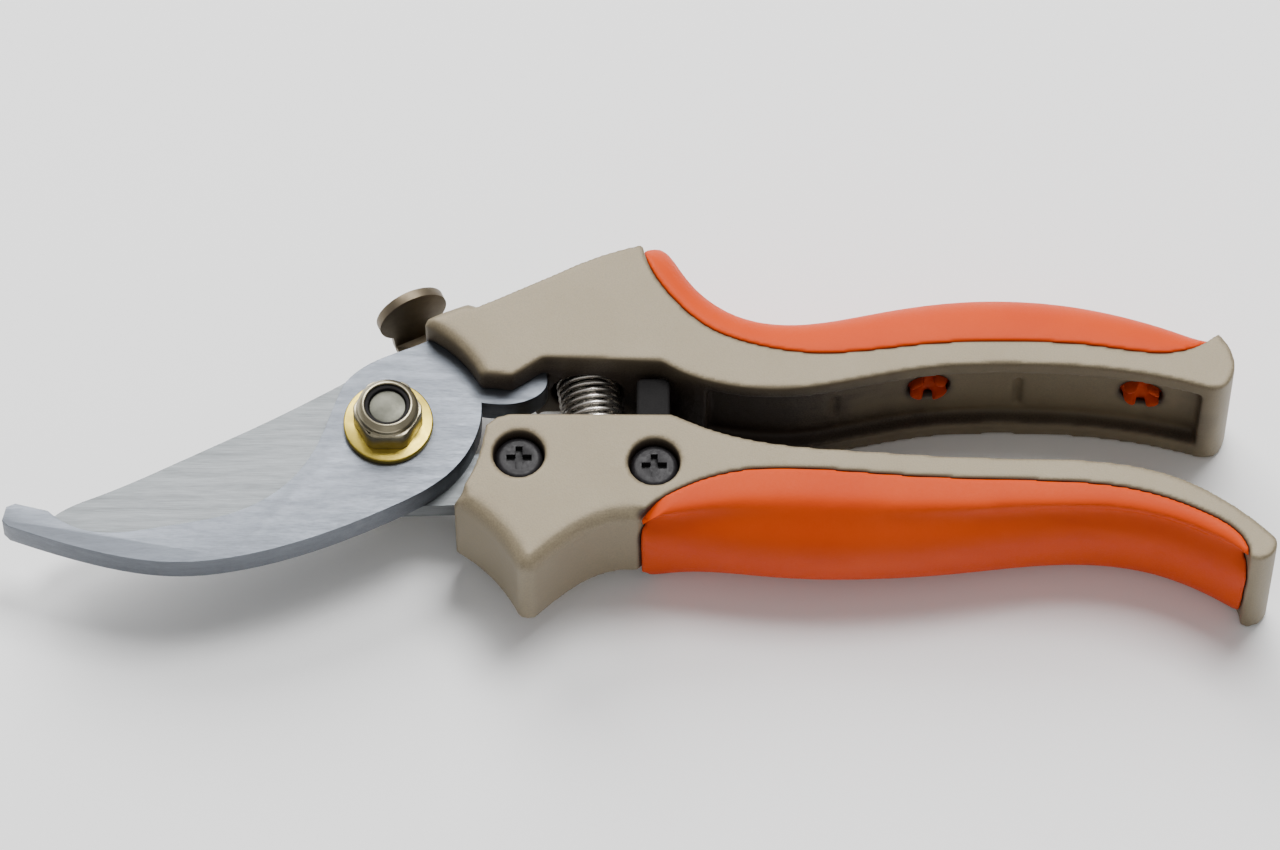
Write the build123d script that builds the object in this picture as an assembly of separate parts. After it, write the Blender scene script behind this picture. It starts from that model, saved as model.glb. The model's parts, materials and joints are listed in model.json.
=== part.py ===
from build123d import *
import os
from math import cos, radians, sin

# Pruning shears: bypass hand shears with die-cast handles, press-fit grips and a thumb latch.
# Millimetres. Every piece is drawn round the pivot: its axis is Z, through (0, 0). The jaws point
# along -X and the handles along +X. Z is 0 on the flat back faces of the handles, and the lock nut
# faces +Z. The last step moves all of it so that the origin is the bottom centre of the whole.

# ---- driving dimensions -----------------------------------------------------------------
HANDLE_THICKNESS = 24.0
MID_HEIGHT = HANDLE_THICKNESS / 2
HEAD_BACK = 5.0              # the handle heads are thinner than the grips, on the back only
HEAD_END = 48.0
BOX_CENTRE = (39.468, 3.02)  # middle of the closed shears, seen from the front

BLADE_BACK = 9.8
BLADE_THICKNESS = 3.45
HOOK_BACK = 13.3             # leaves a sliding gap of 0.05 in front of the blade
HOOK_FRONT = 18.3

PIVOT_RADIUS = 3.0
RUNNING_GAP = 0.05

WASHER_RADIUS = 7.1
WASHER_THICKNESS = 1.2
NUT_ACROSS_FLATS = 10.0
NUT_HEIGHT = 6.0
NUT_MOUTH_RADIUS = 3.6       # the nylon ring shows inside the nut's mouth
BOLT_HEAD_ACROSS_FLATS = 10.0
BOLT_HEAD_HEIGHT = 4.0

SCREW_HEAD_RADIUS = 3.8
SCREW_HEAD_HEIGHT = 2.6
SCREW_RADIUS = 2.0
COUNTERBORE_RADIUS = 4.1
BLADE_SCREW_PLACES = [(20.8, -8.0), (42.1, -9.4)]
BLADE_SCREW_SEAT = 19.8      # height of the shoulder that the screw heads sit on
HOOK_SCREW_PLACES = [(27.5, 18.2), (38.6, 18.2)]
HOOK_SCREW_SEAT = 9.4
HOOK_SCREW_POINT = HOOK_FRONT - 0.8

LATCH_THICKNESS = 1.5
LATCH_BACK = 8.2
LATCH_PIVOT = (12.0, 15.2)
LATCH_RIVET_RADIUS = 1.5
LATCH_RIVET_DEPTH = 3.0      # how far the rivet goes into the hook
LATCH_HEAD_RADIUS = 3.0
LATCH_WASHER_THICKNESS = 0.4
LATCH_TURN = 10.0            # degrees from released to locked
LATCH_POCKET_TOP = 9.9       # both heads are relieved at the back up to this height
CATCH_PIN = (17.5, -4.5)
CATCH_PIN_RADIUS = 1.25

SPRING_RADIUS = 5.0
SPRING_WIRE = 1.0
SPRING_LOW_END = (33.8, -3.4)
SPRING_HIGH_END = (30.8, 14.0)
SPRING_TURNS = 12
SOCKET_GAP = 0.7

BUMPER_LEFT = 39.3
BUMPER_RIGHT = 44.6
BUMPER_FLOOR = -3.8
BUMPER_TOP = 7.5
BUMPER_BACK = 5.5
BUMPER_FRONT = 20.1

RIM_THICKNESS = 3.6          # the handle channels' side walls
CHANNEL_DEPTH = 2.9
HOLE_RADIUS = 3.3            # round holes that the grips' snap pins press through
PIN_RADIUS = 3.1
PIN_LENGTH = 3.6
PIN_ROOT = 0.9               # the part of a pin that is sunk in its grip
PIN_SPLIT = 1.4
SLOT_WIDTH = 1.4
SLOT_DEPTH = 1.0
GRIP_FULLNESS = 0.8          # 1 gives an elliptical section; less gives a squarer one


def place(x, y, z=0.0):
    return Location((x, y, z))


def slab(outline, low, high):
    """Extrude a closed outline in the XY plane between two heights."""
    return extrude(Plane.XY.offset(low) * make_face(outline), high - low)


def box_between(low, high):
    size = [b - a for a, b in zip(low, high)]
    middle = [(a + b) / 2 for a, b in zip(low, high)]
    return Location(tuple(middle)) * Box(*size)


def rod(radius, low, high, centre=(0.0, 0.0)):
    return place(centre[0], centre[1], (low + high) / 2) * Cylinder(radius, high - low)


def hexagon(across_flats, low, high):
    corner_radius = across_flats / 2 / cos(radians(30))
    return extrude(Plane.XY.offset(low) * RegularPolygon(corner_radius, 6), high - low)


# ---- jaws -------------------------------------------------------------------------------
def hook_blank():
    """The counter blade: a forged hook, a hub round the pivot and a tang in the upper handle."""
    tip = Polyline((-53.4, -15.3), (-58.6, -14.0), (-60.0, -14.6), (-60.6, -17.0), (-59.6, -18.0))
    belly = Spline((-59.6, -18.0), (-45.3, -22.6), (-33.2, -24.4), (-21.6, -23.0), (-8.8, -18.9),
                   (0.6, -14.6), (10.2, -8.1), (14.3, -0.6), (14.7, 4.0))
    finger = Spline((14.7, 4.0), (17.8, 3.7), (22.0, 4.4), (24.6, 6.3), (25.0, 9.2))
    tang = Polyline((25.0, 9.2), (26.4, 15.3), (43.4, 15.3), (43.4, 19.0), (41.5, 21.0),
                    (24.0, 20.6), (6.4, 15.4))
    shoulder = Spline((6.4, 15.4), (2.1, 13.5), (-2.8, 11.3), (-7.3, 7.2))
    mouth = Spline((-7.3, 7.2), (-8.5, 4.1), (-11.7, -4.5), (-16.1, -10.6), (-23.4, -15.3),
                   (-34.3, -17.9), (-47.0, -18.8), (-53.4, -15.3))
    outline = Wire([*tip.edges(), belly, finger, *tang.edges(), shoulder, mouth])
    return slab(outline, HOOK_BACK, HOOK_FRONT)


def make_hook_jaw():
    hook = hook_blank() - rod(PIVOT_RADIUS, HOOK_BACK, HOOK_FRONT)
    for spot in HOOK_SCREW_PLACES:
        hook -= rod(SCREW_RADIUS, HOOK_BACK, HOOK_SCREW_POINT, spot)
    hook -= rod(LATCH_RIVET_RADIUS, HOOK_BACK, HOOK_BACK + LATCH_RIVET_DEPTH, LATCH_PIVOT)
    return hook


def blade_blank():
    """The upper jaw. Its flat side slides on the hook's back, and its tang is in the lower handle."""
    spine = Spline((-53.8, -14.6), (-51.8, -12.9), (-46.0, -10.1), (-33.8, -4.2), (-21.8, 2.0),
                   (-9.6, 8.9), (-4.5, 12.0))
    crown = ThreePointArc((-4.5, 12.0), (8.4, 9.6), (12.4, -2.8))
    tang = Polyline((12.4, -2.8), (16.0, -2.3), (36.0, -4.6), (46.5, -5.2), (47.5, -8.0),
                    (46.0, -13.2), (22.0, -12.6), (10.2, -11.7), (-3.0, -12.2))
    edge = Spline((-3.0, -12.2), (-12.0, -13.2), (-22.0, -16.6), (-34.0, -19.5), (-46.0, -19.3),
                  (-53.8, -14.6))
    outline = Wire([spine, crown, *tang.edges(), edge])
    return slab(outline, BLADE_BACK, BLADE_BACK + BLADE_THICKNESS)


def make_cutting_blade():
    blade = blade_blank() - rod(PIVOT_RADIUS + RUNNING_GAP, BLADE_BACK, HOOK_BACK)
    for spot in BLADE_SCREW_PLACES:
        blade -= rod(SCREW_RADIUS, BLADE_BACK, HOOK_BACK, spot)
    blade -= rod(CATCH_PIN_RADIUS, BLADE_BACK, HOOK_BACK, CATCH_PIN)
    return blade


# ---- pivot ------------------------------------------------------------------------------
def nut_base_height():
    return HOOK_FRONT + WASHER_THICKNESS


def make_pivot_bolt():
    head_top = BLADE_BACK - WASHER_THICKNESS
    head = hexagon(BOLT_HEAD_ACROSS_FLATS, head_top - BOLT_HEAD_HEIGHT, head_top)
    shank = rod(PIVOT_RADIUS, head_top, nut_base_height() + NUT_HEIGHT - 1.0)
    return head + shank


def make_lock_nut():
    """A hexagon with a round collar that holds the nylon ring."""
    base = nut_base_height()
    collar_radius = NUT_ACROSS_FLATS / 2 - 0.2
    nut = hexagon(NUT_ACROSS_FLATS, base, base + NUT_HEIGHT * 0.7)
    nut = nut & rod(NUT_ACROSS_FLATS / 2 + 0.45, base, base + NUT_HEIGHT)
    nut += rod(collar_radius, base, base + NUT_HEIGHT)
    nut = chamfer(nut.edges().group_by(Axis.Z)[-1], 0.8)
    nut -= rod(PIVOT_RADIUS, base, base + NUT_HEIGHT)
    nut -= rod(NUT_MOUTH_RADIUS, base + NUT_HEIGHT - 0.5, base + NUT_HEIGHT)
    nut -= nylon_space()
    return nut


def nylon_space():
    top = nut_base_height() + NUT_HEIGHT
    return rod(PIVOT_RADIUS + 1.0, top - 2.0, top - 0.5) - rod(PIVOT_RADIUS, top - 2.0, top)


def make_flat_washer(low, hole_radius=PIVOT_RADIUS):
    return rod(WASHER_RADIUS, low, low + WASHER_THICKNESS) - rod(hole_radius, low, low + 2.0)


# ---- screws -----------------------------------------------------------------------------
def make_screw(seat, point, up):
    """A pan-head screw with a cross recess. It points down from its seat, or up."""
    direction = 1 if up else -1
    head_end = seat - direction * SCREW_HEAD_HEIGHT
    head = rod(SCREW_HEAD_RADIUS, min(seat, head_end), max(seat, head_end))
    outer_face = head.faces().sort_by(Axis.Z)[0 if up else -1]
    head = fillet(outer_face.edges(), 1.0)
    cross = Box(4.0, 1.1, 2.4) + Box(1.1, 4.0, 2.4)
    head -= place(0, 0, head_end) * cross
    return head + rod(SCREW_RADIUS, min(seat, point), max(seat, point))


def screw_set(spots, seat, point, up):
    screw = make_screw(seat, point, up)
    return Compound([place(*spot) * screw for spot in spots])


def screw_room(spots, seat, point, outer_face):
    """The counterbores and clearance holes that a set of screws needs in a handle."""
    low, high = sorted((seat, outer_face))
    shank_low, shank_high = sorted((seat, point))
    holes = [rod(COUNTERBORE_RADIUS, low, high, spot) for spot in spots]
    holes += [rod(SCREW_RADIUS, shank_low, shank_high, spot) for spot in spots]
    return holes


# ---- latch ------------------------------------------------------------------------------
def make_latch_plate():
    """A pressed steel plate: pivot eye, arm with a hooked end, and a thumb tab bent up."""
    arm = Polyline((12.0, 19.0), (16.0, 17.0), (19.8, 9.0), (21.6, 1.0), (21.3, -8.6), (18.4, -8.6),
                   (16.9, -7.4), (16.9, -6.1), (19.2, -5.9), (19.3, -1.0), (17.4, 5.6), (12.0, 11.4))
    arm = Wire([*arm.edges(), Line((12.0, 11.4), (12.0, 19.0))])
    plate = slab(arm, LATCH_BACK, LATCH_BACK + LATCH_THICKNESS)
    plate += rod(3.8, LATCH_BACK, LATCH_BACK + LATCH_THICKNESS, LATCH_PIVOT)
    plate = place(*LATCH_PIVOT) * Rot(0, 0, LATCH_TURN) * place(-LATCH_PIVOT[0], -LATCH_PIVOT[1]) * plate
    tongue = Polyline((12.0, 11.6), (1.9, 16.4), (0.7, 18.8), (0.1, 20.2), (5.9, 22.9), (6.5, 21.5),
                      (12.0, 19.0), (12.0, 11.6))
    plate += slab(Wire(tongue.edges()), LATCH_BACK, LATCH_BACK + LATCH_THICKNESS)
    plate += make_thumb_tab()
    plate -= rod(LATCH_RIVET_RADIUS + RUNNING_GAP, LATCH_BACK, LATCH_BACK + LATCH_THICKNESS, LATCH_PIVOT)
    return plate


def make_thumb_tab():
    """The tab stands on the plate's outer edge and is rounded at the top."""
    tab_plane = Plane(origin=(3.6, 20.2, LATCH_BACK), x_dir=(cos(radians(25)), sin(radians(25)), 0),
                      z_dir=(sin(radians(25)), -cos(radians(25)), 0))
    outline = Polyline((-3.2, 0.0), (3.2, 0.0), (3.6, 4.5)) + Line((-3.2, 0.0), (-3.6, 4.5))
    crown = ThreePointArc((3.6, 4.5), (0.0, 14.8), (-3.6, 4.5))
    face = make_face(Wire([*outline.edges(), crown]))
    return extrude(tab_plane * face, -LATCH_THICKNESS)


def make_latch_rivet():
    seat = LATCH_BACK - LATCH_WASHER_THICKNESS
    head = rod(LATCH_HEAD_RADIUS, seat - 1.2, seat, LATCH_PIVOT)
    head = fillet(head.edges().sort_by(Axis.Z)[0], 0.8)
    return head + rod(LATCH_RIVET_RADIUS, seat, HOOK_BACK + LATCH_RIVET_DEPTH, LATCH_PIVOT)


def make_latch_washer():
    """A thin spring washer between the rivet head and the latch, which keeps it where it is put."""
    low = LATCH_BACK - LATCH_WASHER_THICKNESS
    ring = rod(LATCH_HEAD_RADIUS, low, LATCH_BACK, LATCH_PIVOT)
    return ring - rod(LATCH_RIVET_RADIUS, low, LATCH_BACK, LATCH_PIVOT)


def make_catch_pin():
    return rod(CATCH_PIN_RADIUS, LATCH_BACK - 0.2, HOOK_BACK - RUNNING_GAP, CATCH_PIN)


# ---- spring and bumper ------------------------------------------------------------------
def spring_frame():
    """A plane at the lower end of the spring, looking along its axis."""
    along = Vector(SPRING_HIGH_END[0] - SPRING_LOW_END[0], SPRING_HIGH_END[1] - SPRING_LOW_END[1], 0)
    return Plane(origin=(*SPRING_LOW_END, MID_HEIGHT), x_dir=(0, 0, 1), z_dir=along), along.length


def make_return_spring():
    plane, length = spring_frame()
    coil_length = length - SPRING_WIRE - 0.2
    mean_radius = SPRING_RADIUS - SPRING_WIRE / 2
    coil = Helix(coil_length / SPRING_TURNS, coil_length, mean_radius)
    wire_section = Plane(origin=coil @ 0, z_dir=coil % 0) * Circle(SPRING_WIRE / 2)
    spring = sweep(wire_section, path=coil)
    return plane.location * place(0, 0, SPRING_WIRE / 2 + 0.1) * spring


def spring_socket(from_low_end, depth):
    plane, length = spring_frame()
    radius = SPRING_RADIUS + SOCKET_GAP
    start = 0.0 if from_low_end else length - depth
    return plane.location * place(0, 0, start + depth / 2) * Cylinder(radius, depth)


def make_stop_bumper():
    """A rubber block in the lower handle. The upper handle comes to rest on it."""
    block = box_between((BUMPER_LEFT, BUMPER_FLOOR, BUMPER_BACK), (BUMPER_RIGHT, BUMPER_TOP, BUMPER_FRONT))
    return fillet(block.edges().filter_by(Axis.Z).group_by(Axis.Y)[-1], 1.0)


# ---- grips ------------------------------------------------------------------------------
def rounded_section(x, seam, crest):
    """The grip's section at x: flat at the seam and round to its crest."""
    outward = 1 if crest > seam else -1
    start = HANDLE_THICKNESS if outward > 0 else 0.0
    end = HANDLE_THICKNESS - start
    root = seam - outward * 3.0
    sides = Polyline((x, seam, start), (x, root, start), (x, root, end), (x, seam, end))
    bulge = []
    for angle in range(-90, 91, 30):
        reach = max(cos(radians(angle)), 0.0) ** GRIP_FULLNESS
        height = MID_HEIGHT - outward * MID_HEIGHT * sin(radians(angle))
        bulge.append((x, seam + (crest - seam) * reach, height))
    over = Spline(*bulge, tangents=[(0, outward, 0), (0, -outward, 0)])
    return make_face(Wire([*sides.edges(), over]))


def grip_blank(stations):
    return loft([rounded_section(*station) for station in stations])


# x, height of the seam with the metal, height of the crest
UPPER_GRIP_STATIONS = [(40.4, 25.6, 31.6), (44.4, 21.4, 32.8), (47.0, 18.2, 28.2),
                       (51.0, 14.6, 23.4), (56.0, 12.2, 20.2), (64.0, 10.4, 19.0), (74.0, 10.2, 20.8),
                       (86.0, 11.7, 23.2), (99.0, 12.2, 23.9), (112.0, 11.4, 22.2), (122.0, 10.2, 19.0),
                       (130.8, 10.6, 14.4)]
LOWER_GRIP_STATIONS = [(40.0, -17.6, -19.6), (44.0, -15.4, -20.0), (49.5, -12.6, -20.6),
                       (56.0, -10.9, -21.6), (66.0, -10.6, -22.6), (78.0, -11.6, -22.4),
                       (90.0, -12.4, -21.2), (102.0, -12.7, -19.4), (113.0, -13.4, -18.9),
                       (122.0, -15.4, -20.4), (129.0, -18.6, -23.2), (135.1, -22.6, -26.2)]


def snap_pin(x, seam, outward):
    """A round pin through the web. It is split in four, and its mouth is spread to hold."""
    pin = Cylinder(PIN_RADIUS, PIN_LENGTH)
    for turn in (0, 90):
        pin -= Rot(0, 0, turn) * place(0, 0, -PIN_ROOT) * Box(PIN_SPLIT, 10, PIN_LENGTH)
    standing = Rot(-90 * outward, 0, 0)
    return Location((x, seam - outward * (PIN_LENGTH / 2 - PIN_ROOT), MID_HEIGHT)) * standing * pin


def make_grip(stations, metal, pin_places, outward):
    grip = grip_blank(stations) - metal
    grip = max(grip.solids(), key=lambda solid: solid.volume)
    for x, seam in pin_places:
        grip += snap_pin(x, seam, outward)
    return grip


# ---- handles ----------------------------------------------------------------------------
# Flat pads on the backs of the heads, level with the handles' backs
UPPER_PAD = [(32.5, 12.6), (HEAD_END, 12.6), (HEAD_END, 22.0), (38.0, 26.2), (32.5, 24.0)]
LOWER_PAD = [(23.5, -21.5), (33.0, -16.8), (41.0, -15.5), (HEAD_END, -13.0), (HEAD_END, -4.0), (30.0, -4.0),
             (28.0, -13.4), (23.5, -13.4)]

UPPER_PIN_PLACES = [(86.0, 11.5), (120.0, 10.2)]
LOWER_PIN_PLACES = [(84.0, -11.9), (118.0, -14.4)]
# x, floor of the channel, and the slot's two ends
UPPER_SLOTS = [(71.0, 7.3, 7.6, 13.6), (100.4, 10.7, 4.6, 13.7)]


def upper_seam():
    return Spline((40.3, 29.8), (41.4, 26.0), (46.2, 18.8), (51.0, 14.6), (57.0, 12.0), (67.7, 10.1),
                  (85.2, 11.7), (99.0, 12.2), (113.0, 11.3), (125.0, 10.3), (131.6, 13.6))


def lower_seam():
    return Spline((135.2, -26.4), (134.4, -23.2), (128.5, -18.4), (117.5, -14.3), (101.4, -12.7),
                  (81.9, -11.9), (66.0, -10.6), (55.6, -11.0), (48.6, -13.0), (42.0, -16.8), (39.4, -19.4))


def inner_side(seam, level):
    """Everything on the metal's side of a seam, as far as a level between the handles."""
    start, end = seam @ 0, seam @ 1
    back = Polyline(end, (end.X, level), (start.X, level), start)
    return slab(Wire([seam, *back.edges()]), -1, HANDLE_THICKNESS + 1)


def upper_handle_outline():
    nose = ThreePointArc((14.6, 6.5), (10.9, 11.7), (5.6, 15.6))
    back = Polyline((5.6, 15.6), (5.9, 16.6), (8.6, 17.9), (12.4, 19.4), (21.1, 22.6), (27.2, 24.8))
    rise = Spline((27.2, 24.8), (34.2, 28.0), (40.3, 29.8))
    end = Spline((131.6, 13.6), (133.6, 10.6), (134.0, 6.9), (132.6, 4.2), (129.6, 3.7))
    inside = Spline((129.6, 3.7), (120.7, 6.0), (111.0, 7.4), (98.0, 8.0), (86.0, 7.4), (74.0, 5.2),
                    (64.0, 3.6), (55.0, 4.0), (46.4, 6.6))
    underside = Polyline((46.4, 6.6), (43.2, 8.5), (24.4, 9.3), (22.0, 7.6), (19.6, 6.0), (14.6, 6.5))
    return Wire([nose, *back.edges(), rise, upper_seam(), end, inside, *underside.edges()])


def lower_handle_outline():
    top = Polyline((15.2, -4.6), (15.6, -2.8), (17.2, -1.4), (19.6, -0.8), (45.1, -1.0), (47.2, -2.0))
    inside = Spline((47.2, -2.0), (52.0, -4.0), (60.0, -6.0), (76.8, -7.6), (92.0, -8.6), (111.0, -9.2),
                    (124.0, -12.0), (133.6, -17.6), (138.6, -22.0))
    end = Spline((138.6, -22.0), (139.5, -24.2), (138.4, -26.0), (135.2, -26.4))
    throat = Spline((39.4, -19.4), (33.4, -20.2), (27.5, -23.9), (23.8, -27.2))
    spur = ThreePointArc((23.8, -27.2), (22.2, -28.0), (20.6, -27.2))
    guard = Spline((20.6, -27.2), (17.0, -21.6), (10.5, -16.0))
    hollow = Spline((10.5, -16.0), (13.4, -11.2), (15.2, -4.6))
    return Wire([*top.edges(), inside, end, lower_seam(), throat, spur, guard, hollow])


def upper_channel():
    """The open side of the upper handle's channel, seen from between the handles."""
    stations = [(50.5, 5.0), (57.0, 3.8), (66.0, 3.7), (76.0, 5.6), (88.0, 7.6), (100.0, 8.0),
                (112.0, 7.3), (122.0, 5.8), (129.0, 4.2)]
    floor = [(x, y + CHANNEL_DEPTH) for x, y in stations]
    return channel_space(stations, floor, -6.0)


def lower_channel():
    stations = [(51.0, -3.6), (60.0, -6.0), (76.8, -7.6), (92.0, -8.6), (111.0, -9.2), (122.0, -11.3),
                (130.5, -15.4)]
    floor = [(x, y - CHANNEL_DEPTH) for x, y in stations]
    return channel_space(stations, floor, 6.0)


def channel_space(stations, floor, beyond):
    """The room between a channel's rims: from its floor out past the handle's inner edge."""
    first, last = stations[0], stations[-1]
    bottom = Spline(*floor)
    sides = Polyline(floor[-1], (last[0], last[1] + beyond), (first[0], first[1] + beyond), floor[0])
    room = slab(Wire([bottom, *sides.edges()]), RIM_THICKNESS, HANDLE_THICKNESS - RIM_THICKNESS)
    return room


def web_holes(pin_places):
    return [Location((x, seam, MID_HEIGHT)) * Rot(90, 0, 0) * Cylinder(HOLE_RADIUS, 9.0)
            for x, seam in pin_places]


def back_relief(low_y, high_y, pad_corners):
    """What is cut from a head's back. It leaves a pad that the shears lie on."""
    pad = slab(Polyline(*pad_corners, close=True), -1, HEAD_BACK)
    return box_between((0, low_y, -1), (HEAD_END, high_y, HEAD_BACK)) - pad


def web_slots():
    """Narrow slots in the upper handle's web, open to the channel."""
    return [box_between((x - SLOT_WIDTH / 2, floor, low), (x + SLOT_WIDTH / 2, floor + SLOT_DEPTH, high))
            for x, floor, low, high in UPPER_SLOTS]


def make_upper_handle():
    body = slab(upper_handle_outline(), 0, HANDLE_THICKNESS)
    body -= back_relief(-5, 40, UPPER_PAD)
    body -= box_between((0, -5, -1), (23.0, 40, LATCH_POCKET_TOP))
    body -= upper_channel()
    body -= hook_blank()
    body -= slab(Wire(hook_room_outline()), HOOK_BACK, HOOK_FRONT)
    body -= spring_socket(False, 12.0)
    for space in screw_room(HOOK_SCREW_PLACES, HOOK_SCREW_SEAT, HOOK_SCREW_POINT, 0.0):
        body -= space
    for space in web_holes(UPPER_PIN_PLACES):
        body -= space
    for space in web_slots():
        body -= space
    body -= rod(LATCH_RIVET_RADIUS, LATCH_POCKET_TOP - 1, HOOK_BACK, LATCH_PIVOT)
    return max(body.solids(), key=lambda solid: solid.volume)


def hook_room_outline():
    """Open room beside the hook's hub, so that no thin wall is left in front of the tang."""
    return Polyline((14.0, 3.0), (25.2, 3.0), (25.2, 9.0), (14.6, 6.4), (14.0, 3.0)).edges()


def make_lower_handle():
    body = slab(lower_handle_outline(), 0, HANDLE_THICKNESS)
    body -= back_relief(-40, 10, LOWER_PAD)
    body -= box_between((0, -12.6, -1), (28.0, 10, LATCH_POCKET_TOP))
    body -= lower_channel()
    body -= blade_blank()
    body -= spring_socket(True, 12.0)
    body -= box_between((BUMPER_LEFT, BUMPER_FLOOR, BUMPER_BACK), (BUMPER_RIGHT, 5, BUMPER_FRONT))
    for space in screw_room(BLADE_SCREW_PLACES, BLADE_SCREW_SEAT, BLADE_BACK, HANDLE_THICKNESS):
        body -= space
    for space in web_holes(LOWER_PIN_PLACES):
        body -= space
    return max(body.solids(), key=lambda solid: solid.volume)


def write(name, shape):
    shape = place(-BOX_CENTRE[0], -BOX_CENTRE[1]) * shape
    shape.label = name
    export_step(shape, f"parts/{name}.step")


def main():
    os.makedirs("parts", exist_ok=True)
    write("hook_jaw", make_hook_jaw())
    write("cutting_blade", make_cutting_blade())
    write("upper_handle", make_upper_handle())
    write("lower_handle", make_lower_handle())
    write("upper_grip", make_grip(UPPER_GRIP_STATIONS, inner_side(upper_seam(), -10), UPPER_PIN_PLACES, 1))
    write("lower_grip", make_grip(LOWER_GRIP_STATIONS, inner_side(lower_seam(), 10), LOWER_PIN_PLACES, -1))
    write("pivot_bolt", make_pivot_bolt())
    write("lock_nut", make_lock_nut())
    write("nut_insert", nylon_space())
    write("nut_washer", make_flat_washer(HOOK_FRONT))
    write("rear_washer", make_flat_washer(BLADE_BACK - WASHER_THICKNESS))
    write("blade_screws", screw_set(BLADE_SCREW_PLACES, BLADE_SCREW_SEAT, BLADE_BACK, False))
    write("hook_screws", screw_set(HOOK_SCREW_PLACES, HOOK_SCREW_SEAT, HOOK_SCREW_POINT, True))
    write("latch_plate", make_latch_plate())
    write("latch_rivet", make_latch_rivet())
    write("latch_washer", make_latch_washer())
    write("catch_pin", make_catch_pin())
    write("return_spring", make_return_spring())
    write("stop_bumper", make_stop_bumper())


if __name__ == "__main__":
    main()
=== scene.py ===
"""Pruning shears: the looks of every piece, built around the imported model. Metres throughout."""
import json
import math

import bmesh
import bpy
import numpy as np
from mathutils import Matrix, Vector
from mathutils.bvhtree import BVHTree


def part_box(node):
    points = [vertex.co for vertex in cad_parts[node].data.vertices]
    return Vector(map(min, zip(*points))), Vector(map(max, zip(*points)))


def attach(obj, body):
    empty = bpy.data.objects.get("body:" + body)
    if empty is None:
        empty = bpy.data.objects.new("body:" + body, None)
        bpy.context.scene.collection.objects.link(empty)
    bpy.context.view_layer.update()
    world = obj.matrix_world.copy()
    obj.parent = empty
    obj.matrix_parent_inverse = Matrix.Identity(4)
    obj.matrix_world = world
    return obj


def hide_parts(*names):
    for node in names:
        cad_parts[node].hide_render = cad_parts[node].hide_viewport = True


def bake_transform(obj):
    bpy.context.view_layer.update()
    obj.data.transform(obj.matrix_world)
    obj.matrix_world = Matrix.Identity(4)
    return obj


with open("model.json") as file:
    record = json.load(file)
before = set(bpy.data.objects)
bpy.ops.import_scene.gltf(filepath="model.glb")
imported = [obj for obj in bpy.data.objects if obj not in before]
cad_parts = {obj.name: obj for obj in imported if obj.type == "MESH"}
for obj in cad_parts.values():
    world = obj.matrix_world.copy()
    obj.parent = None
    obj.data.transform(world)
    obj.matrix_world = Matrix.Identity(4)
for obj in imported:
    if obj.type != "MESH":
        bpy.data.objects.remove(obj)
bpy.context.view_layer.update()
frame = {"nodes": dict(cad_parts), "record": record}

bl_info = {
    "name": "Pruning shears",
    "version": (1, 0, 0),
    "blender": (4, 5, 0),
    "location": "3D View > Sidebar > Shears",
    "description": "Builds the pieces of a pair of bypass pruning shears",
    "category": "Add Mesh",
}

MM = 0.001
PIVOT = Vector(next(joint["pos_m"] for joint in frame["record"]["behaviour"]["joints"]
                    if joint["name"] == "jaws_open"))

# How near a point has to be to a flat face to count as on it.
FACE_SKIN = 0.1 * MM

# How shut in a point is: rays that look for walls, and the smoothing of what they find.
HOLLOW_RAYS = 56
HOLLOW_BLURS = 4
HOLLOW_REACH = 22 * MM
HOLLOW_LIFT = 0.6 * MM
GRAZING = 0.15

# The softening of castings and mouldings, and how much of a grip beside the metal stays as it is.
HANDLE_PASSES = 6
GRIP_PASSES = 4
CROWN_PASSES = 160
SEAM_WIDTH = 0.8 * MM
SEAM_BLEND = 2.2 * MM

# Where front edges are rounded and the grip is eased, measured from the pivot.
GUARD_DROP = 14.2 * MM
GUARD_END = 40.5 * MM
NOSE_END = 14.5 * MM
CORNER_START = 45.5 * MM
CORNER_RUN = 5.5 * MM

# The blade's cutting edge: where it starts from the pivot, the line that parts it from the spine,
# the grind's land and run-in from the heel, and how far the wedge passes its two sides.
EDGE_START = 10 * MM
EDGE_DROP = 10 * MM
EDGE_SLOPE = 0.09
EDGE_LAND = 0.35 * MM
EDGE_RUN_IN = 8 * MM
EDGE_FIRST_SHARE = 0.04
CUTTER_INSIDE = 0.5 * MM
CUTTER_OUTSIDE = 1.0 * MM
BLADE_BREAK = 0.12 * MM

# The floor, the lights as name, place, size and watts, and the camera.
FLOOR_HALF_WIDTH = 3.0
FLOOR_GAP = 0.2 * MM
ROOM_LIGHT = 0.45
LAMPS = (("window", (-0.35, 1.0, 0.9), 0.8, 24.0),
         ("key", (0.25, 0.45, 1.3), 0.5, 20.0),
         ("fill", (0.1, -1.1, 0.7), 0.9, 1.0))
LAMP_TARGET = (0.04, 0.0, 0.0)
VIEW_TILT = math.radians(62)
VIEW_CENTRE = PIVOT + Vector((39.86 * MM, 0.0, 5.0 * MM))
VIEW_WIDTH = 0.2029


# ---- shader maths -----------------------------------------------------------------------
class Value:
    """A socket of a finish's node tree. Arithmetic on it adds Math nodes."""

    def __init__(self, finish, socket):
        self.finish = finish
        self.socket = socket

    def math(self, operation, first, second):
        return self.finish.add("ShaderNodeMath", {"operation": operation}, {0: first, 1: second})

    def __add__(self, other):
        return self.math("ADD", self, other)

    def __sub__(self, other):
        return self.math("SUBTRACT", self, other)

    def __mul__(self, other):
        return self.math("MULTIPLY", self, other)

    def __rsub__(self, other):
        return self.math("SUBTRACT", other, self)

    __radd__ = __add__
    __rmul__ = __mul__


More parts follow.
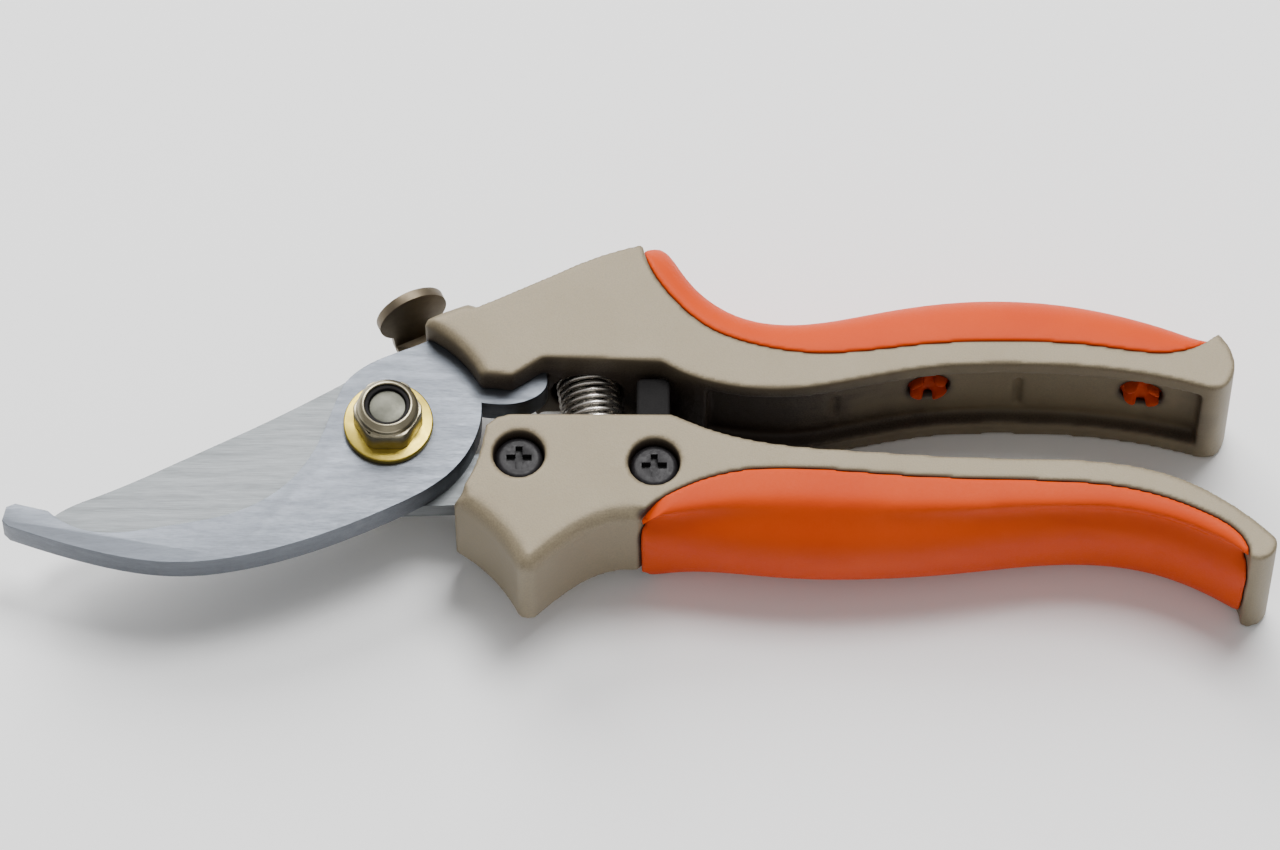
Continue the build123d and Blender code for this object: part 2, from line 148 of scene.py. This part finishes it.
class Finish:
    """One material: a Principled surface and the nodes that vary it."""

    def __init__(self, name, **constants):
        self.material = bpy.data.materials.new(name)
        self.material.use_nodes = True
        self.tree = self.material.node_tree
        self.surface = self.tree.nodes["Principled BSDF"]
        for socket, value in constants.items():
            self.surface.inputs[socket.replace("_", " ")].default_value = value

    def add(self, kind, settings=None, values=None, output=0):
        node = self.tree.nodes.new(kind)
        for name, setting in (settings or {}).items():
            if name == "stops":
                self.set_stops(node.color_ramp, setting)
            else:
                setattr(node, name, setting)
        for socket, value in (values or {}).items():
            self.feed(node.inputs[socket], value)
        return Value(self, node.outputs[output])

    def set_stops(self, ramp, stops):
        while len(ramp.elements) < len(stops):
            ramp.elements.new(0.5)
        for element, (position, grey) in zip(ramp.elements, stops):
            element.position = position
            element.color = (grey, grey, grey, 1.0)

    def feed(self, socket, value):
        if isinstance(value, Value):
            self.tree.links.new(value.socket, socket)
        else:
            socket.default_value = value

    def show(self, socket, value):
        self.feed(self.surface.inputs[socket], value)

    def place(self, stretch=(1.0, 1.0, 1.0), turn=0.0):
        """Object coordinates in metres, turned about Z and stretched."""
        spot = self.add("ShaderNodeTexCoord", output=3)
        return self.add("ShaderNodeMapping", None, {0: spot, 2: (0, 0, turn), 3: stretch})

    def noise(self, size, place, detail=3.0, roughness=0.55):
        """Values near 0.5 that change over the given size in metres."""
        values = {"Vector": place, "Scale": 1.0 / size, "Detail": detail, "Roughness": roughness}
        return self.add("ShaderNodeTexNoise", None, values)

    def ramp(self, value, *stops):
        return self.add("ShaderNodeValToRGB", {"stops": stops}, {0: value})

    def blend(self, amount, first, second):
        values = {"Factor": amount, 6: first, 7: second}
        return self.add("ShaderNodeMix", {"data_type": "RGBA"}, values, output=2)

    def bump(self, height, distance, strength=1.0, under=None):
        values = {"Height": height, "Distance": distance, "Strength": strength}
        if under is not None:
            values["Normal"] = under
        return self.add("ShaderNodeBump", None, values)


def shade(colour, amount):
    """A colour made lighter or darker, with its alpha kept."""
    return (*[min(1.0, part * amount) for part in colour[:3]], 1.0)


# ---- finishes ---------------------------------------------------------------------------
def cast_paint(name, colour):
    """Warm grey satin paint with a fine fleck, over an uneven casting, with painted shade in its hollows
    and between parts.
    """
    finish = Finish(name, Metallic=0.25, Specular_IOR_Level=0.45)
    place = finish.place()
    fleck = finish.ramp(finish.noise(0.00028, place, 2.0), (0.36, 0.0), (0.66, 1.0))
    cloud = finish.noise(0.012, place, 3.0)
    speckled = finish.blend(fleck, shade(colour, 0.84), shade(colour, 1.14))
    warmer = (colour[0] * 0.92, colour[1] * 0.88, colour[2] * 0.8, 1.0)
    warm = finish.blend(cloud * 0.35, speckled, warmer)
    hollow = finish.add("ShaderNodeAttribute", {"attribute_name": "hollow"}, output=2)
    # Painted shade: the more a point is shut in by its own casting and the parts round it, the nearer its
    # paint goes to a near-black brown, with a little fleck mixed in.
    painted_shade = finish.ramp(hollow + (fleck - 0.5) * 0.1, (0.16, 0.0), (0.62, 1.0))
    finish.show("Base Color", finish.blend(painted_shade * 0.92, warm, (0.036, 0.024, 0.019, 1.0)))
    finish.show("Roughness", 0.42 + fleck * 0.12 + cloud * 0.08)
    peel = finish.bump(finish.noise(0.0016, place, 2.0), 0.00005, 0.6)
    finish.show("Normal", finish.bump(fleck, 0.000012, 0.6, peel))
    return finish.material


def grained_plastic(name, colour, deep_colour):
    """Moulded plastic with a fine spark-eroded grain and slightly deeper colour in patches."""
    finish = Finish(name, Specular_IOR_Level=0.14)
    place = finish.place()
    grain = finish.noise(0.00035, place, 3.0)
    patch = finish.ramp(finish.noise(0.018, place, 4.0), (0.38, 0.0), (0.7, 1.0))
    finish.show("Base Color", finish.blend(patch * 0.35 + grain * 0.12, colour, deep_colour))
    finish.show("Roughness", 0.44 + grain * 0.2)
    finish.show("Normal", finish.bump(grain, 0.00003, 0.7))
    return finish.material


def ground_steel(name, colour, turn, line_length, roughness, contrast, rub=0.16):
    """Steel with fine parallel grinding marks. The marks run along X, turned about Z."""
    finish = Finish(name, Metallic=1.0)
    lines_place = finish.place((1.0 / line_length, 1.0, 1.0), turn)
    lines = finish.noise(0.00016, lines_place, 4.0, 0.7)
    wide_lines = finish.noise(0.0011, lines_place, 3.0)
    cloud = finish.noise(0.014, finish.place(), 4.0)
    tone = finish.ramp(lines * 0.6 + wide_lines * 0.4, (0.36, 0.0), (0.64, 1.0))
    toned = finish.blend(tone * contrast, colour, shade(colour, 0.62))
    finish.show("Base Color", finish.blend(cloud * 0.4, toned, shade(colour, 0.84)))
    finish.show("Roughness", roughness + tone * rub + cloud * 0.08)
    finish.show("Normal", finish.bump(lines, 0.000012, 0.5))
    return finish.material


def plated_steel(name, colour, tint, roughness):
    """Zinc plating: a mottled, slightly iridescent tint and small handling marks."""
    finish = Finish(name, Metallic=1.0)
    place = finish.place()
    mottle = finish.ramp(finish.noise(0.0022, place, 4.0), (0.35, 0.0), (0.68, 1.0))
    marks = finish.noise(0.0004, place, 4.0, 0.7)
    finish.show("Base Color", finish.blend(mottle * 0.7, colour, tint))
    finish.show("Roughness", roughness + marks * 0.2)
    finish.show("Normal", finish.bump(marks, 0.00002, 0.45))
    return finish.material


def blackened_steel(name, colour):
    """Black oxide on steel, with paler rubbed marks."""
    finish = Finish(name, Metallic=0.1, Specular_IOR_Level=0.22)
    place = finish.place()
    marks = finish.ramp(finish.noise(0.0006, place, 4.0), (0.4, 0.0), (0.7, 1.0))
    finish.show("Base Color", finish.blend(marks * 0.5, colour, shade(colour, 2.2)))
    finish.show("Roughness", 0.4 + marks * 0.2)
    finish.show("Normal", finish.bump(marks, 0.00002, 0.4))
    return finish.material


def dull_rubber(name, colour):
    """Matte rubber or nylon with a faint bloom."""
    finish = Finish(name, Specular_IOR_Level=0.14)
    place = finish.place()
    bloom = finish.noise(0.003, place, 4.0)
    grain = finish.noise(0.0003, place, 2.0)
    finish.show("Base Color", finish.blend(bloom * 0.6, colour, shade(colour, 2.4)))
    finish.show("Roughness", 0.6 + grain * 0.25)
    finish.show("Normal", finish.bump(grain, 0.00003, 0.5))
    return finish.material


def drawn_wire(name, colour):
    """Bright spring wire, faintly mottled."""
    finish = Finish(name, Metallic=1.0)
    place = finish.place()
    grey = finish.noise(0.0012, place, 3.0)
    marks = finish.noise(0.00012, place, 2.0)
    finish.show("Base Color", finish.blend(grey * 0.5, colour, shade(colour, 0.6)))
    finish.show("Roughness", 0.2 + marks * 0.18)
    finish.show("Normal", finish.bump(marks, 0.00001, 0.4))
    return finish.material


# ---- mesh helpers -----------------------------------------------------------------------
def copy_of_node(node, name):
    """A welded copy of a CAD node, with its flat faces made whole again."""
    source = frame["nodes"][node].data
    work = bmesh.new()
    work.from_mesh(source)
    bmesh.ops.remove_doubles(work, verts=work.verts, dist=0.002 * MM)
    bmesh.ops.dissolve_limit(work, angle_limit=math.radians(0.6), verts=work.verts, edges=work.edges)
    mesh = bpy.data.meshes.new(name)
    work.to_mesh(mesh)
    work.free()
    piece = bpy.data.objects.new(name, mesh)
    bpy.context.scene.collection.objects.link(piece)
    return piece


def bake_modifiers(piece):
    """Turn a piece and its modifiers into one plain mesh."""
    graph = bpy.context.evaluated_depsgraph_get()
    mesh = bpy.data.meshes.new_from_object(piece.evaluated_get(graph))
    piece.modifiers.clear()
    old = piece.data
    piece.data = mesh
    if old.users == 0:
        bpy.data.meshes.remove(old)
    return piece


def add_modifier(piece, kind, **settings):
    modifier = piece.modifiers.new(kind.title(), kind)
    for name, value in settings.items():
        setattr(modifier, name, value)
    return modifier


def shade_smooth(piece, sharp_degrees=None):
    for polygon in piece.data.polygons:
        polygon.use_smooth = True
    if sharp_degrees is not None:
        piece.data.set_sharp_from_angle(angle=math.radians(sharp_degrees))


def finish_piece(piece, node, material):
    """Give a piece its finish and its body, and let it stand for its CAD node."""
    piece.data.materials.clear()
    piece.data.materials.append(material)
    for polygon in piece.data.polygons:
        polygon.material_index = 0
    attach(piece, body_of(node))
    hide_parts(node)


def body_of(node):
    bodies = frame["record"]["behaviour"]["bodies"]
    return next(body for body, nodes in bodies.items() if node in nodes)


def bevel_where(piece, chosen, width, segments):
    """Bevel the sharp edges whose middle the chosen function accepts."""
    work = bmesh.new()
    work.from_mesh(piece.data)
    picked = []
    for edge in work.edges:
        if len(edge.link_faces) == 2 and edge.calc_face_angle(0.0) > math.radians(30):
            if chosen((edge.verts[0].co + edge.verts[1].co) / 2):
                picked.append(edge)
    bmesh.ops.bevel(work, geom=picked, offset=width, segments=segments, profile=0.5,
                    affect="EDGES", clamp_overlap=False)
    work.to_mesh(piece.data)
    work.free()


def closed_shears(piece, own_node):
    """A piece and the parts round it as one tree of faces, for finding what is shut in."""
    points, faces = [], []
    for node in ("upper_handle", "lower_handle", "upper_grip", "lower_grip", "hook_jaw",
                 "cutting_blade"):
        mesh = piece.data if node == own_node else frame["nodes"][node].data
        first = len(points)
        points += [vertex.co.copy() for vertex in mesh.vertices]
        faces += [[first + index for index in polygon.vertices] for polygon in mesh.polygons]
    return BVHTree.FromPolygons(points, faces)


def mark_hollows(piece, node):
    """Store how shut in each point is, from 0 in the open to 1 in a deep recess, for the painted shade of
    the castings.
    """
    mesh = piece.data
    tree = closed_shears(piece, node)
    spiral = math.pi * (3 - math.sqrt(5))
    directions = []
    for index in range(HOLLOW_RAYS):
        z = 1 - 2 * (index + 0.5) / HOLLOW_RAYS
        ring = math.sqrt(1 - z * z)
        turn = spiral * index
        directions.append(Vector((ring * math.cos(turn), ring * math.sin(turn), z)))
    values = []
    for vertex in mesh.vertices:
        start = vertex.co + vertex.normal * HOLLOW_LIFT
        seen = shut = 0.0
        for direction in directions:
            facing = direction.dot(vertex.normal)
            if facing > GRAZING:
                seen += facing
                if tree.ray_cast(start, direction, HOLLOW_REACH)[0] is not None:
                    shut += facing
        values.append(shut / seen)
    for _ in range(HOLLOW_BLURS):
        values = blurred(mesh, values)
    attribute = mesh.attributes.new("hollow", "FLOAT", "POINT")
    attribute.data.foreach_set("value", values)


def blurred(mesh, values):
    """Each point's value averaged with its neighbours'."""
    ends = np.zeros(len(mesh.edges) * 2, np.int64)
    mesh.edges.foreach_get("vertices", ends)
    first, second = ends[0::2], ends[1::2]
    values = np.asarray(values)
    total = values.copy()
    count = np.ones(len(values))
    for here, there in ((first, second), (second, first)):
        np.add.at(total, here, values[there])
        np.add.at(count, here, 1.0)
    return total / count


def softened_casting(node, name, voxel, passes, rounding=None):
    """A casting with rounded edges and filled corners: remeshed finely, then relaxed."""
    piece = copy_of_node(node, name)
    if rounding is not None:
        bevel_where(piece, *rounding)
    size = voxel * 1.0
    add_modifier(piece, "REMESH", mode="VOXEL", voxel_size=size, use_smooth_shade=True)
    bake_modifiers(piece)
    add_modifier(piece, "SMOOTH", factor=0.5, iterations=passes)
    bake_modifiers(piece)
    shade_smooth(piece)
    return piece


def relax_crown(piece, metal_node):
    """Round a grip off where it stands clear of the metal, and leave its seam alone."""
    metal = frame["nodes"][metal_node].data
    tree = BVHTree.FromPolygons([vertex.co for vertex in metal.vertices],
                                [polygon.vertices for polygon in metal.polygons])
    group = piece.vertex_groups.new(name="crown")
    for vertex in piece.data.vertices:
        distance = tree.find_nearest(vertex.co)[3]
        weight = min(max((distance - SEAM_WIDTH) / SEAM_BLEND, 0.0), 1.0)
        if weight > 0:
            group.add([vertex.index], weight, "REPLACE")
    passes = CROWN_PASSES
    add_modifier(piece, "SMOOTH", factor=0.5, iterations=passes, vertex_group=group.name)
    bake_modifiers(piece)
    piece.vertex_groups.clear()
    shade_smooth(piece)


def ease_front_corner(grip, drop):
    """Lower the front of the grip towards the hand guard, to follow the guard's rounding."""
    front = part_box("lower_grip")[1].z
    for vertex in grip.data.vertices:
        nearness = min(max((PIVOT.x + CORNER_START - vertex.co.x) / CORNER_RUN, 0.0), 1.0)
        vertex.co.z = min(vertex.co.z, front - drop * nearness ** 2)


def bevelled_copy(node, name, width, segments=2, angle=35):
    """A machined or pressed piece with its edges broken."""
    piece = copy_of_node(node, name)
    add_modifier(piece, "BEVEL", width=width, segments=segments, limit_method="ANGLE",
                 angle_limit=math.radians(angle))
    bake_modifiers(piece)
    shade_smooth(piece, 40)
    return piece


def cutting_edge_points():
    """The back corner of the blade's cutting edge, in order from the heel to the tip."""
    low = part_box("cutting_blade")[0]
    points = set()
    for vertex in frame["nodes"]["cutting_blade"].data.vertices:
        ahead = PIVOT.x - vertex.co.x
        between = PIVOT.y - EDGE_DROP - ahead * EDGE_SLOPE
        if vertex.co.z < low.z + FACE_SKIN and ahead > EDGE_START and vertex.co.y < between:
            points.add((round(vertex.co.x, 6), round(vertex.co.y, 6)))
    return [Vector((x, y, 0.0)) for x, y in sorted(points, reverse=True)]


def edge_cutter(width):
    """A wedge along the cutting edge: what the grindstone takes off the blade's back."""
    low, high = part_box("cutting_blade")
    points = cutting_edge_points()
    corners, faces = [], []
    for index, point in enumerate(points):
        before = points[max(index - 1, 0)]
        after = points[min(index + 1, len(points) - 1)]
        along = (before - after).normalized()
        inward = Vector((-along.y, along.x, 0.0))
        run_in = min((points[0].x - point.x) / EDGE_RUN_IN + EDGE_FIRST_SHARE, 1.0)
        depth = (high.z - low.z - EDGE_LAND) * run_in
        slope = depth / (width * run_in)
        inner = point + inward * (width * run_in + CUTTER_INSIDE)
        outer = point - inward * CUTTER_OUTSIDE
        bottom = low.z - slope * CUTTER_INSIDE
        top = low.z + depth + slope * CUTTER_OUTSIDE
        corners += [(inner.x, inner.y, bottom), (outer.x, outer.y, top), (outer.x, outer.y, bottom)]
        if index:
            first = 3 * (index - 1)
            for side in range(3):
                turn = (side + 1) % 3
                faces.append((first + side, first + turn, first + 3 + turn, first + 3 + side))
    faces += [(0, 1, 2), tuple(len(corners) - step for step in (1, 2, 3))]
    mesh = bpy.data.meshes.new("edge_cutter")
    mesh.from_pydata(corners, [], faces)
    work = bmesh.new()
    work.from_mesh(mesh)
    bmesh.ops.recalc_face_normals(work, faces=work.faces)
    work.to_mesh(mesh)
    work.free()
    cutter = bpy.data.objects.new("edge_cutter", mesh)
    bpy.context.scene.collection.objects.link(cutter)
    return cutter


def grind_blade(width):
    """The blade with its cutting edge ground on the side away from the hook."""
    piece = copy_of_node("cutting_blade", "blade_ground")
    cutter = edge_cutter(width)
    add_modifier(piece, "BOOLEAN", operation="DIFFERENCE", object=cutter, solver="EXACT")
    bake_modifiers(piece)
    bpy.data.objects.remove(cutter)
    add_modifier(piece, "BEVEL", width=BLADE_BREAK, segments=2, limit_method="ANGLE",
                 angle_limit=math.radians(40))
    bake_modifiers(piece)
    shade_smooth(piece, 25)
    return piece


# ---- settings ---------------------------------------------------------------------------
def colour_setting(name, description, default):
    return bpy.props.FloatVectorProperty(name=name, description=description, default=default,
                                         size=4, min=0.0, max=1.0, subtype="COLOR")


def length_setting(name, description, default):
    return bpy.props.FloatProperty(name=name, description=description, default=default,
                                   min=0.0, unit="LENGTH", precision=5)


class HandleSettings(bpy.types.PropertyGroup):
    """Sizes and colours of the handles and grips."""

    paint: colour_setting("Paint", "Colour of the cast handles", (0.205, 0.168, 0.108, 1.0))
    grip: colour_setting("Grip", "Colour of the plastic grips", (0.54, 0.052, 0.001, 1.0))
    grip_deep: colour_setting("Deep grip", "Deeper colour in the grips' patches",
                              (0.44, 0.030, 0.001, 1.0))
    guard_round: length_setting("Guard round", "Rounding on the front of the hand guard", 2.6 * MM)
    fineness: length_setting("Fineness", "Mesh size of the castings, which sets how round edges are",
                             0.45 * MM)


class JawSettings(bpy.types.PropertyGroup):
    """Sizes and colours of the jaws."""

    hook: colour_setting("Hook", "Colour of the hook's satin steel", (0.15, 0.163, 0.185, 1.0))
    blade: colour_setting("Blade", "Colour of the blade's ground steel", (0.16, 0.17, 0.175, 1.0))
    edge_grind: length_setting("Edge grind", "Width of the ground bevel on the cutting edge", 5.5 * MM)
    edge_round: length_setting("Edge round", "Width of the rounding on the hook's outer edge", 1.1 * MM)


class PivotSettings(bpy.types.PropertyGroup):
    """Colours of the pivot, latch, spring, stop and screws, and the spring's sizes."""

    washer: colour_setting("Washer", "Yellow zinc plating", (0.50, 0.38, 0.07, 1.0))
    nut: colour_setting("Nut", "Clear zinc plating", (0.36, 0.32, 0.22, 1.0))
    bolt: colour_setting("Bolt", "Dark oiled steel of the pivot bolt", (0.105, 0.105, 0.085, 1.0))
    black: colour_setting("Black", "Blackened screws", (0.010, 0.009, 0.010, 1.0))
    rubber: colour_setting("Rubber", "Stop bumper", (0.006, 0.0055, 0.0055, 1.0))
    latch: colour_setting("Latch", "Dull pressed steel", (0.16, 0.13, 0.09, 1.0))
    wire: colour_setting("Wire", "Bright spring wire", (0.80, 0.76, 0.70, 1.0))
    wire_thickness: length_setting("Wire thickness", "Diameter of the spring's wire", 0.8 * MM)
    turns: bpy.props.FloatProperty(name="Turns", description="Turns in the spring",
                                   default=12.5, min=1.0)
    spring_tilt: bpy.props.FloatProperty(name="Spring tilt",
                                         description="How far the spring leans to the jaws",
                                         default=math.radians(9.8), subtype="ANGLE")


# ---- the coil ---------------------------------------------------------------------------
def coil_tree(material):
    """Geometry nodes that wind a wire into a coil standing on the origin."""
    tree = bpy.data.node_groups.new("coil", "GeometryNodeTree")
    tree.interface.new_socket("Geometry", in_out="OUTPUT", socket_type="NodeSocketGeometry")
    for name in ("Coil radius", "Wire radius", "Length", "Turns"):
        tree.interface.new_socket(name, in_out="INPUT", socket_type="NodeSocketFloat")
    given = tree.nodes.new("NodeGroupInput")
    spiral = tree.nodes.new("GeometryNodeCurveSpiral")
    spiral.inputs["Resolution"].default_value = 40
    circle = tree.nodes.new("GeometryNodeCurvePrimitiveCircle")
    circle.inputs["Resolution"].default_value = 12
    tube = tree.nodes.new("GeometryNodeCurveToMesh")
    tube.inputs["Fill Caps"].default_value = True
    smooth = tree.nodes.new("GeometryNodeSetShadeSmooth")
    paint = tree.nodes.new("GeometryNodeSetMaterial")
    paint.inputs["Material"].default_value = material
    whole = tree.nodes.new("GeometryNodeRealizeInstances")
    result = tree.nodes.new("NodeGroupOutput")
    for source, socket, node, target in (
            (given, "Coil radius", spiral, "Start Radius"), (given, "Coil radius", spiral, "End Radius"),
            (given, "Length", spiral, "Height"), (given, "Turns", spiral, "Rotations"),
            (given, "Wire radius", circle, "Radius"), (spiral, "Curve", tube, "Curve"),
            (circle, "Curve", tube, "Profile Curve"), (tube, "Mesh", whole, "Geometry"),
            (whole, "Geometry", smooth, "Geometry"), (smooth, "Geometry", paint, "Geometry"),
            (paint, "Geometry", result, "Geometry")):
        tree.links.new(source.outputs[socket], node.inputs[target])
    return tree


def wind_spring(settings, material):
    """The coil between its two seats, and the two ends of its axis, upper one first."""
    low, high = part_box("return_spring")
    tilt = settings.spring_tilt
    outer = (high.z - low.z) / 2
    length = (high.y - low.y - 2 * outer * math.sin(tilt)) / math.cos(tilt) - settings.wire_thickness
    tree = coil_tree(material)
    spring = bpy.data.objects.new("return_spring_coil", bpy.data.meshes.new("return_spring_coil"))
    bpy.context.scene.collection.objects.link(spring)
    winding = spring.modifiers.new("Coil", "NODES")
    winding.node_group = tree
    sizes = {"Coil radius": outer - settings.wire_thickness / 2, "Wire radius": settings.wire_thickness / 2,
             "Length": length, "Turns": settings.turns}
    for item in tree.interface.items_tree:
        if item.in_out == "INPUT":
            winding[item.identifier] = sizes[item.name]
    bake_modifiers(spring)
    along = Vector((-math.sin(tilt), math.cos(tilt), 0.0))
    middle = (low + high) / 2
    foot = middle - along * length / 2
    spring.data.transform(Matrix.Translation(foot) @ along.to_track_quat("Z", "X").to_matrix().to_4x4())
    return spring, foot + along * length, foot


# ---- operators --------------------------------------------------------------------------
class SHEARS_OT_handles(bpy.types.Operator):
    """Build both cast handles"""

    bl_idname = "shears.handles"
    bl_label = "Handles"

    def execute(self, context):
        settings = context.scene.shears_handles
        paint = cast_paint("handle paint", settings.paint)
        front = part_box("lower_handle")[1].z
        guard = (lambda spot: spot.z > front - FACE_SKIN and spot.y < PIVOT.y - GUARD_DROP
                 and spot.x < PIVOT.x + GUARD_END, settings.guard_round, 5)
        nose = (lambda spot: spot.z > front - FACE_SKIN and spot.x < PIVOT.x + NOSE_END,
                settings.guard_round * 0.6, 4)
        for node, rounding in (("upper_handle", nose), ("lower_handle", guard)):
            piece = softened_casting(node, node + "_casting", settings.fineness, HANDLE_PASSES,
                                     rounding)
            mark_hollows(piece, node)
            finish_piece(piece, node, paint)
        return {"FINISHED"}


class SHEARS_OT_grips(bpy.types.Operator):
    """Build both plastic grips"""

    bl_idname = "shears.grips"
    bl_label = "Grips"

    def execute(self, context):
        settings = context.scene.shears_handles
        plastic = grained_plastic("grip plastic", settings.grip, settings.grip_deep)
        for node, metal_node in (("upper_grip", "upper_handle"), ("lower_grip", "lower_handle")):
            piece = softened_casting(node, node + "_moulding", settings.fineness, GRIP_PASSES)
            relax_crown(piece, metal_node)
            if node == "lower_grip":
                ease_front_corner(piece, settings.guard_round)
            finish_piece(piece, node, plastic)
        return {"FINISHED"}


class SHEARS_OT_jaws(bpy.types.Operator):
    """Build the hook and the cutting blade"""

    bl_idname = "shears.jaws"
    bl_label = "Jaws"

    def execute(self, context):
        settings = context.scene.shears_jaws
        satin = ground_steel("hook steel", settings.hook, math.radians(80), 9.0, 0.36, 0.4)
        hook = bevelled_copy("hook_jaw", "hook_forging", settings.edge_round, 4, 40)
        finish_piece(hook, "hook_jaw", satin)
        ground = ground_steel("blade steel", settings.blade, math.radians(12), 26.0, 0.34, 0.75)
        blade = grind_blade(settings.edge_grind)
        finish_piece(blade, "cutting_blade", ground)
        return {"FINISHED"}


class SHEARS_OT_pivot(bpy.types.Operator):
    """Build the pivot bolt, nut, washers and screws"""

    bl_idname = "shears.pivot"
    bl_label = "Pivot"

    def execute(self, context):
        settings = context.scene.shears_pivot
        zinc = plated_steel("yellow zinc", settings.washer, shade(settings.washer, 0.72), 0.26)
        bright = plated_steel("clear zinc", settings.nut, shade(settings.nut, 0.7), 0.22)
        black = blackened_steel("black steel", settings.black)
        nylon = dull_rubber("dark nylon", shade(settings.rubber, 1.6))
        dark = plated_steel("dark bolt steel", settings.bolt, shade(settings.bolt, 0.5), 0.34)
        plan = [
            ("pivot_bolt", 0.3 * MM, dark), ("lock_nut", 0.45 * MM, bright),
            ("nut_insert", 0.2 * MM, nylon), ("nut_washer", 0.2 * MM, zinc),
            ("rear_washer", 0.2 * MM, zinc), ("latch_rivet", 0.15 * MM, bright),
            ("catch_pin", 0.2 * MM, bright), ("blade_screws", 0.18 * MM, black),
            ("hook_screws", 0.18 * MM, black),
        ]
        for node, width, material in plan:
            piece = bevelled_copy(node, node + "_turned", width)
            finish_piece(piece, node, material)
        return {"FINISHED"}


class SHEARS_OT_latch(bpy.types.Operator):
    """Build the latch plate and its spring washer"""

    bl_idname = "shears.latch"
    bl_label = "Latch"

    def execute(self, context):
        settings = context.scene.shears_pivot
        dull = plated_steel("latch steel", settings.latch, shade(settings.latch, 0.75), 0.4)
        plate = bevelled_copy("latch_plate", "latch_pressing", 0.35 * MM, 3)
        finish_piece(plate, "latch_plate", dull)
        washer = bevelled_copy("latch_washer", "latch_wave_washer", 0.08 * MM)
        finish_piece(washer, "latch_washer", dull)
        return {"FINISHED"}


class SHEARS_OT_spring(bpy.types.Operator):
    """Wind the return spring and build the rubber stop"""

    bl_idname = "shears.spring"
    bl_label = "Spring and stop"

    def execute(self, context):
        settings = context.scene.shears_pivot
        wire = drawn_wire("spring wire", settings.wire)
        spring, start, end = wind_spring(settings, wire)
        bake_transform(spring)
        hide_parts("return_spring")
        rubber = dull_rubber("stop rubber", settings.rubber)
        stop = bevelled_copy("stop_bumper", "stop_rubber", 0.5 * MM, 3)
        finish_piece(stop, "stop_bumper", rubber)
        return {"FINISHED"}


class SHEARS_OT_stage(bpy.types.Operator):
    """Set the floor, the lights and the camera"""

    bl_idname = "shears.stage"
    bl_label = "Stage"

    def execute(self, context):
        scene = context.scene
        floor_mesh = bpy.data.meshes.new("floor")
        half = FLOOR_HALF_WIDTH
        corners = [(-half, -half, 0), (half, -half, 0), (half, half, 0), (-half, half, 0)]
        floor_mesh.from_pydata(corners, [], [(0, 1, 2, 3)])
        floor = bpy.data.objects.new("floor", floor_mesh)
        floor_mesh.transform(Matrix.Translation((0, 0, -FLOOR_GAP)))
        scene.collection.objects.link(floor)
        floor_mesh.materials.append(floor_finish())
        world = bpy.data.worlds.new("soft room")
        world.use_nodes = True
        sky = world.node_tree.nodes["Background"]
        sky.inputs["Color"].default_value = (1.0, 1.0, 1.0, 1.0)
        sky.inputs["Strength"].default_value = ROOM_LIGHT
        scene.world = world
        for lamp in LAMPS:
            add_lamp(scene, *lamp)
        add_camera(scene)
        return {"FINISHED"}


def floor_finish():
    finish = Finish("pale floor", Roughness=0.9)
    cloud = finish.noise(0.3, finish.place())
    finish.show("Base Color", finish.blend(cloud, (0.93, 0.93, 0.93, 1), (0.9, 0.9, 0.9, 1)))
    return finish.material


def aim(thing, target):
    direction = Vector(target) - thing.location
    thing.rotation_euler = direction.to_track_quat("-Z", "Y").to_euler()


def add_lamp(scene, name, spot, size, power):
    lamp = bpy.data.lights.new(name, "AREA")
    lamp.size = size
    lamp.energy = power
    thing = bpy.data.objects.new(name, lamp)
    thing.location = spot
    scene.collection.objects.link(thing)
    aim(thing, LAMP_TARGET)


def add_camera(scene):
    """A long lens, tilted down over the shears as they lie flat."""
    lens = bpy.data.cameras.new("camera")
    lens.lens = 200.0
    lens.sensor_width = 36.0
    distance = VIEW_WIDTH * lens.lens / lens.sensor_width
    away = Vector((0.0, -math.cos(VIEW_TILT), math.sin(VIEW_TILT)))
    camera = bpy.data.objects.new("camera", lens)
    camera.location = VIEW_CENTRE + away * distance
    scene.collection.objects.link(camera)
    aim(camera, VIEW_CENTRE)
    scene.camera = camera


class SHEARS_PT_panel(bpy.types.Panel):
    """Lists the operators and their settings"""

    bl_idname = "SHEARS_PT_panel"
    bl_label = "Pruning shears"
    bl_space_type = "VIEW_3D"
    bl_region_type = "UI"
    bl_category = "Shears"

    def draw(self, context):
        column = self.layout.column()
        for operator in OPERATORS:
            column.operator(operator.bl_idname)
        for setting, group in SETTINGS.items():
            for name in group.__annotations__:
                column.prop(getattr(context.scene, setting), name)


OPERATORS = (SHEARS_OT_handles, SHEARS_OT_grips, SHEARS_OT_jaws, SHEARS_OT_pivot, SHEARS_OT_latch,
             SHEARS_OT_spring, SHEARS_OT_stage)
SETTINGS = {"shears_handles": HandleSettings, "shears_jaws": JawSettings, "shears_pivot": PivotSettings}


def register():
    for group in SETTINGS.values():
        bpy.utils.register_class(group)
    for name, group in SETTINGS.items():
        setattr(bpy.types.Scene, name, bpy.props.PointerProperty(type=group))
    for operator in OPERATORS:
        bpy.utils.register_class(operator)
    bpy.utils.register_class(SHEARS_PT_panel)


def unregister():
    bpy.utils.unregister_class(SHEARS_PT_panel)
    for operator in reversed(OPERATORS):
        bpy.utils.unregister_class(operator)
    for name, group in SETTINGS.items():
        delattr(bpy.types.Scene, name)
        bpy.utils.unregister_class(group)


def main():
    register()
    bpy.ops.shears.handles()
    bpy.ops.shears.grips()
    bpy.ops.shears.jaws()
    bpy.ops.shears.pivot()
    bpy.ops.shears.latch()
    bpy.ops.shears.spring()
    bpy.ops.shears.stage()


if __name__ == "__main__":
    main()
